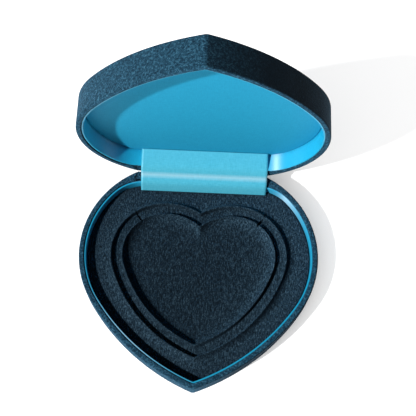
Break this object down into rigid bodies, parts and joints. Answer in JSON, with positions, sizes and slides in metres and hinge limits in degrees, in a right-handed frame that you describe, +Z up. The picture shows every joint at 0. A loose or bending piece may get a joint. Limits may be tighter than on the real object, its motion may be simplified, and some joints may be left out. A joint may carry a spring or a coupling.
{
  "type": "heart-shaped jewellery box",
  "caption": "Heart-shaped hinged presentation box covered in navy fabric, blue satin lining, ribbon stay and a padded insert with a heart channel for a necklace.",
  "frame": {"origin": "middle of the flat underside of the tray, halfway between the point and the flat back", "axes": "+X across the box to the right, +Y from the point to the hinge, +Z up from the surface it stands on"},
  "size_m": [0.165, 0.1732, 0.1689],
  "materials": {
    "navy_velvet": "short-pile navy suede-touch fabric with a fine grain",
    "foot_velvet": "thin navy flocked sheet",
    "insert_velvet": "dark navy knitted velvet, fine upright ribs",
    "blue_satin": "sky-blue satin, smooth with a soft gloss",
    "blue_ribbon": "pale blue satin ribbon, slightly sheer",
    "moulded_core": "moulded, matte",
    "card": "grey board",
    "foam": "soft open-cell foam",
    "hinge_steel": "plated steel"
  },
  "bodies": {
    "base": {"base_shell": "moulded_core", "base_fabric_wrap": "navy_velvet", "base_foot_sheet": "foot_velvet", "base_lining_card": "card", "base_lining_satin": "blue_satin", "insert_board": "card", "insert_foam": "foam", "insert_cover": "insert_velvet", "hinge_base_leaf": "hinge_steel", "hinge_pin": "hinge_steel", "ribbon_stay": "blue_ribbon"},
    "lid": {"hinge_lid_leaf": "hinge_steel", "lid_shell": "moulded_core", "lid_fabric_wrap": "navy_velvet", "lid_lining_card": "card", "lid_lining_satin": "blue_satin", "lid_panel_foam": "foam", "lid_panel_board": "card", "lid_panel_satin": "blue_satin"}
  },
  "joints": [
    {"name": "lid_hinge", "type": "hinge", "parent": "base", "child": "lid", "pos_m": [0, 0.07602, 0.0169], "axis": [1, 0, 0], "range_deg": [0, 90], "deforming": ["ribbon_stay"]}
  ]
}
